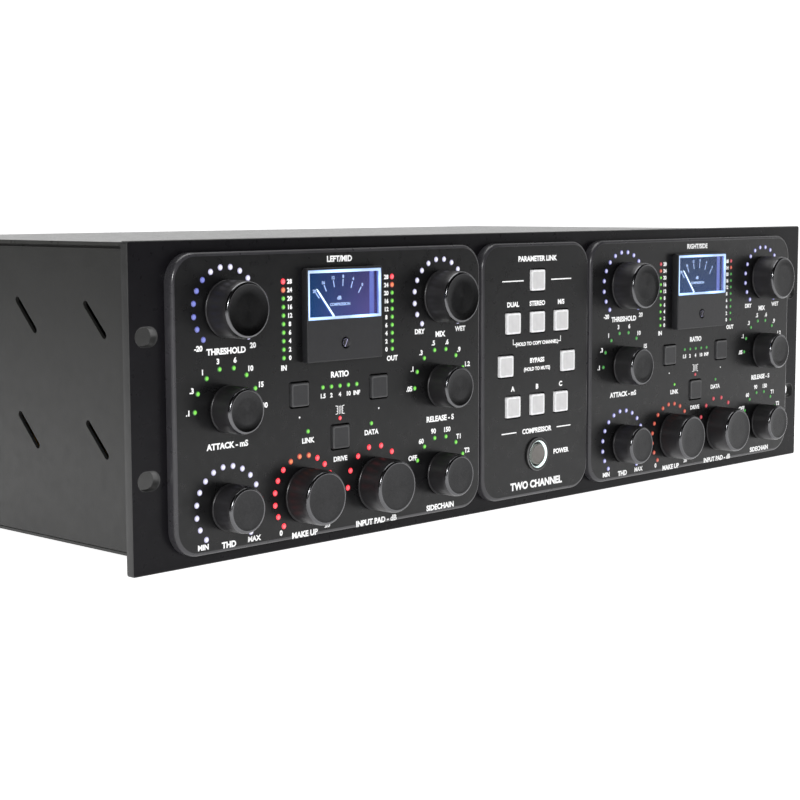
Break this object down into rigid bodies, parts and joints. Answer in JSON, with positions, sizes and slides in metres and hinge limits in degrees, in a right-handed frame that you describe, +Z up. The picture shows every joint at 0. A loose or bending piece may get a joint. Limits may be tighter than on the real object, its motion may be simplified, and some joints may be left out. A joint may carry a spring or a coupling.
{
  "type": "rack compressor",
  "caption": "Two-channel dynamics processor for a 19-inch rack, with moving-coil meters, ring-lit endless knobs, push buttons and a vented steel case.",
  "frame": {"origin": "centre of the bounding box's base: midway across the panel, midway between the knobs' faces and the rear sockets, at the panel's lower edge", "axes": "+X to the right along the panel, +Y from the front into the rack, +Z up; the front faces -Y"},
  "size_m": [0.4826, 0.2536, 0.1325],
  "materials": {
    "black_panel": "satin black anodised plate",
    "fascia_black": "satin black, fine grain",
    "chassis_black": "satin black powder coat",
    "knob_black": "black anodised, turned face and fine knurl",
    "button_white": "translucent white",
    "button_black": "smoked black",
    "meter_black": "moulded black",
    "meter_clear": "clear moulded plastic lit from its edges",
    "needle_white": "painted, lit by the dial",
    "power_grey": "satin anodised",
    "board_green": "solder mask",
    "winding_amber": "wrapped with film tape",
    "can_steel": "plated can",
    "socket_metal": "dark nickel",
    "socket_plastic": "moulded",
    "legend_white": "screen print",
    "dial_blue": "backlit",
    "led_white": "lit light guide",
    "led_blue": "lit light guide",
    "led_red": "lit light guide",
    "led_orange": "lit light guide",
    "led_green": "lit light guide",
    "screw_steel": "black oxide",
    "contact_gold": "plated contacts"
  },
  "bodies": {
    "chassis": {"front_panel": "black_panel", "left_fascia": "fascia_black", "centre_fascia": "fascia_black", "right_fascia": "fascia_black", "chassis_base": "chassis_black", "left_side_panel": "chassis_black", "right_side_panel": "chassis_black", "rear_panel": "chassis_black", "top_cover": "chassis_black", "control_board": "board_green", "main_board": "board_green", "toroidal_transformer": "winding_amber", "left_output_transformer": "can_steel", "right_output_transformer": "can_steel", "left_meter_case": "meter_black", "right_meter_case": "meter_black", "left_meter_window": "meter_clear", "right_meter_window": "meter_clear", "power_button_bezel": "power_grey", "power_inlet": "socket_plastic", "left_input_socket": "socket_metal", "right_input_socket": "socket_metal", "left_output_socket": "socket_metal", "right_output_socket": "socket_metal"},
    "left_threshold_knob": {"left_threshold_knob": "knob_black"},
    "left_attack_knob": {"left_attack_knob": "knob_black"},
    "left_thd_knob": {"left_thd_knob": "knob_black"},
    "left_make_up_knob": {"left_make_up_knob": "knob_black"},
    "left_pad_knob": {"left_pad_knob": "knob_black"},
    "left_mix_knob": {"left_mix_knob": "knob_black"},
    "left_release_knob": {"left_release_knob": "knob_black"},
    "left_sidechain_knob": {"left_sidechain_knob": "knob_black"},
    "right_threshold_knob": {"right_threshold_knob": "knob_black"},
    "right_attack_knob": {"right_attack_knob": "knob_black"},
    "right_thd_knob": {"right_thd_knob": "knob_black"},
    "right_make_up_knob": {"right_make_up_knob": "knob_black"},
    "right_pad_knob": {"right_pad_knob": "knob_black"},
    "right_mix_knob": {"right_mix_knob": "knob_black"},
    "right_release_knob": {"right_release_knob": "knob_black"},
    "right_sidechain_knob": {"right_sidechain_knob": "knob_black"},
    "left_ratio_down_button": {"left_ratio_down_button": "button_black"},
    "left_ratio_up_button": {"left_ratio_up_button": "button_black"},
    "left_transformer_button": {"left_transformer_button": "button_black"},
    "right_ratio_down_button": {"right_ratio_down_button": "button_black"},
    "right_ratio_up_button": {"right_ratio_up_button": "button_black"},
    "right_transformer_button": {"right_transformer_button": "button_black"},
    "link_button": {"link_button": "button_white"},
    "dual_button": {"dual_button": "button_white"},
    "stereo_button": {"stereo_button": "button_white"},
    "mid_side_button": {"mid_side_button": "button_white"},
    "left_bypass_button": {"left_bypass_button": "button_white"},
    "right_bypass_button": {"right_bypass_button": "button_white"},
    "memory_a_button": {"memory_a_button": "button_white"},
    "memory_b_button": {"memory_b_button": "button_white"},
    "memory_c_button": {"memory_c_button": "button_white"},
    "power_button": {"power_button": "power_grey"},
    "left_meter_needle": {"left_meter_needle": "needle_white"},
    "left_zero_screw": {"left_zero_screw": "meter_black"},
    "right_meter_needle": {"right_meter_needle": "needle_white"},
    "right_zero_screw": {"right_zero_screw": "meter_black"}
  },
  "joints": [
    {"name": "left_threshold_knob_turn", "type": "hinge", "parent": "chassis", "child": "left_threshold_knob", "pos_m": [-0.1959, -0.11955, 0.10455], "axis": [0, 1, 0], "continuous": true},
    {"name": "left_attack_knob_turn", "type": "hinge", "parent": "chassis", "child": "left_attack_knob", "pos_m": [-0.1959, -0.11955, 0.06375], "axis": [0, 1, 0], "continuous": true},
    {"name": "left_thd_knob_turn", "type": "hinge", "parent": "chassis", "child": "left_thd_knob", "pos_m": [-0.1959, -0.11955, 0.02345], "axis": [0, 1, 0], "continuous": true},
    {"name": "left_make_up_knob_turn", "type": "hinge", "parent": "chassis", "child": "left_make_up_knob", "pos_m": [-0.1537, -0.11955, 0.02345], "axis": [0, 1, 0], "continuous": true},
    {"name": "left_pad_knob_turn", "type": "hinge", "parent": "chassis", "child": "left_pad_knob", "pos_m": [-0.1111, -0.11955, 0.02345], "axis": [0, 1, 0], "continuous": true},
    {"name": "left_mix_knob_turn", "type": "hinge", "parent": "chassis", "child": "left_mix_knob", "pos_m": [-0.0689, -0.11955, 0.10455], "axis": [0, 1, 0], "continuous": true},
    {"name": "left_release_knob_turn", "type": "hinge", "parent": "chassis", "child": "left_release_knob", "pos_m": [-0.0689, -0.11955, 0.06375], "axis": [0, 1, 0], "continuous": true},
    {"name": "left_sidechain_knob_turn", "type": "hinge", "parent": "chassis", "child": "left_sidechain_knob", "pos_m": [-0.0689, -0.11955, 0.02345], "axis": [0, 1, 0], "continuous": true},
    {"name": "right_threshold_knob_turn", "type": "hinge", "parent": "chassis", "child": "right_threshold_knob", "pos_m": [0.0689, -0.11955, 0.10455], "axis": [0, 1, 0], "continuous": true},
    {"name": "right_attack_knob_turn", "type": "hinge", "parent": "chassis", "child": "right_attack_knob", "pos_m": [0.0689, -0.11955, 0.06375], "axis": [0, 1, 0], "continuous": true},
    {"name": "right_thd_knob_turn", "type": "hinge", "parent": "chassis", "child": "right_thd_knob", "pos_m": [0.0689, -0.11955, 0.02345], "axis": [0, 1, 0], "continuous": true},
    {"name": "right_make_up_knob_turn", "type": "hinge", "parent": "chassis", "child": "right_make_up_knob", "pos_m": [0.1111, -0.11955, 0.02345], "axis": [0, 1, 0], "continuous": true},
    {"name": "right_pad_knob_turn", "type": "hinge", "parent": "chassis", "child": "right_pad_knob", "pos_m": [0.1537, -0.11955, 0.02345], "axis": [0, 1, 0], "continuous": true},
    {"name": "right_mix_knob_turn", "type": "hinge", "parent": "chassis", "child": "right_mix_knob", "pos_m": [0.1959, -0.11955, 0.10455], "axis": [0, 1, 0], "continuous": true},
    {"name": "right_release_knob_turn", "type": "hinge", "parent": "chassis", "child": "right_release_knob", "pos_m": [0.1959, -0.11955, 0.06375], "axis": [0, 1, 0], "continuous": true},
    {"name": "right_sidechain_knob_turn", "type": "hinge", "parent": "chassis", "child": "right_sidechain_knob", "pos_m": [0.1959, -0.11955, 0.02345], "axis": [0, 1, 0], "continuous": true},
    {"name": "left_ratio_down_button_press", "type": "slide", "parent": "chassis", "child": "left_ratio_down_button", "axis": [0, 1, 0], "range_m": [0, 0.0012], "stiffness_N_per_m": 600, "springref_m": -0.002},
    {"name": "left_ratio_up_button_press", "type": "slide", "parent": "chassis", "child": "left_ratio_up_button", "axis": [0, 1, 0], "range_m": [0, 0.0012], "stiffness_N_per_m": 600, "springref_m": -0.002},
    {"name": "left_transformer_button_press", "type": "slide", "parent": "chassis", "child": "left_transformer_button", "axis": [0, 1, 0], "range_m": [0, 0.0012], "stiffness_N_per_m": 600, "springref_m": -0.002},
    {"name": "right_ratio_down_button_press", "type": "slide", "parent": "chassis", "child": "right_ratio_down_button", "axis": [0, 1, 0], "range_m": [0, 0.0012], "stiffness_N_per_m": 600, "springref_m": -0.002},
    {"name": "right_ratio_up_button_press", "type": "slide", "parent": "chassis", "child": "right_ratio_up_button", "axis": [0, 1, 0], "range_m": [0, 0.0012], "stiffness_N_per_m": 600, "springref_m": -0.002},
    {"name": "right_transformer_button_press", "type": "slide", "parent": "chassis", "child": "right_transformer_button", "axis": [0, 1, 0], "range_m": [0, 0.0012], "stiffness_N_per_m": 600, "springref_m": -0.002},
    {"name": "link_button_press", "type": "slide", "parent": "chassis", "child": "link_button", "axis": [0, 1, 0], "range_m": [0, 0.0012], "stiffness_N_per_m": 600, "springref_m": -0.002},
    {"name": "dual_button_press", "type": "slide", "parent": "chassis", "child": "dual_button", "axis": [0, 1, 0], "range_m": [0, 0.0012], "stiffness_N_per_m": 600, "springref_m": -0.002},
    {"name": "stereo_button_press", "type": "slide", "parent": "chassis", "child": "stereo_button", "axis": [0, 1, 0], "range_m": [0, 0.0012], "stiffness_N_per_m": 600, "springref_m": -0.002},
    {"name": "mid_side_button_press", "type": "slide", "parent": "chassis", "child": "mid_side_button", "axis": [0, 1, 0], "range_m": [0, 0.0012], "stiffness_N_per_m": 600, "springref_m": -0.002},
    {"name": "left_bypass_button_press", "type": "slide", "parent": "chassis", "child": "left_bypass_button", "axis": [0, 1, 0], "range_m": [0, 0.0012], "stiffness_N_per_m": 600, "springref_m": -0.002},
    {"name": "right_bypass_button_press", "type": "slide", "parent": "chassis", "child": "right_bypass_button", "axis": [0, 1, 0], "range_m": [0, 0.0012], "stiffness_N_per_m": 600, "springref_m": -0.002},
    {"name": "memory_a_button_press", "type": "slide", "parent": "chassis", "child": "memory_a_button", "axis": [0, 1, 0], "range_m": [0, 0.0012], "stiffness_N_per_m": 600, "springref_m": -0.002},
    {"name": "memory_b_button_press", "type": "slide", "parent": "chassis", "child": "memory_b_button", "axis": [0, 1, 0], "range_m": [0, 0.0012], "stiffness_N_per_m": 600, "springref_m": -0.002},
    {"name": "memory_c_button_press", "type": "slide", "parent": "chassis", "child": "memory_c_button", "axis": [0, 1, 0], "range_m": [0, 0.0012], "stiffness_N_per_m": 600, "springref_m": -0.002},
    {"name": "power_button_press", "type": "slide", "parent": "chassis", "child": "power_button", "axis": [0, 1, 0], "range_m": [0, 0.002], "stiffness_N_per_m": 600, "springref_m": -0.002},
    {"name": "left_meter_needle_swing", "type": "hinge", "parent": "chassis", "child": "left_meter_needle", "pos_m": [-0.1324, -0.11465, 0.09245], "axis": [0, 1, 0], "range_deg": [0, 80], "stiffness_Nm_per_rad": 0.00002, "springref_deg": -28.65},
    {"name": "left_zero_screw_turn", "type": "hinge", "parent": "chassis", "child": "left_zero_screw", "pos_m": [-0.1324, -0.11625, 0.08735], "axis": [0, 1, 0], "continuous": true},
    {"name": "right_meter_needle_swing", "type": "hinge", "parent": "chassis", "child": "right_meter_needle", "pos_m": [0.1324, -0.11465, 0.09245], "axis": [0, 1, 0], "range_deg": [0, 80], "stiffness_Nm_per_rad": 0.00002, "springref_deg": -28.65},
    {"name": "right_zero_screw_turn", "type": "hinge", "parent": "chassis", "child": "right_zero_screw", "pos_m": [0.1324, -0.11625, 0.08735], "axis": [0, 1, 0], "continuous": true}
  ]
}
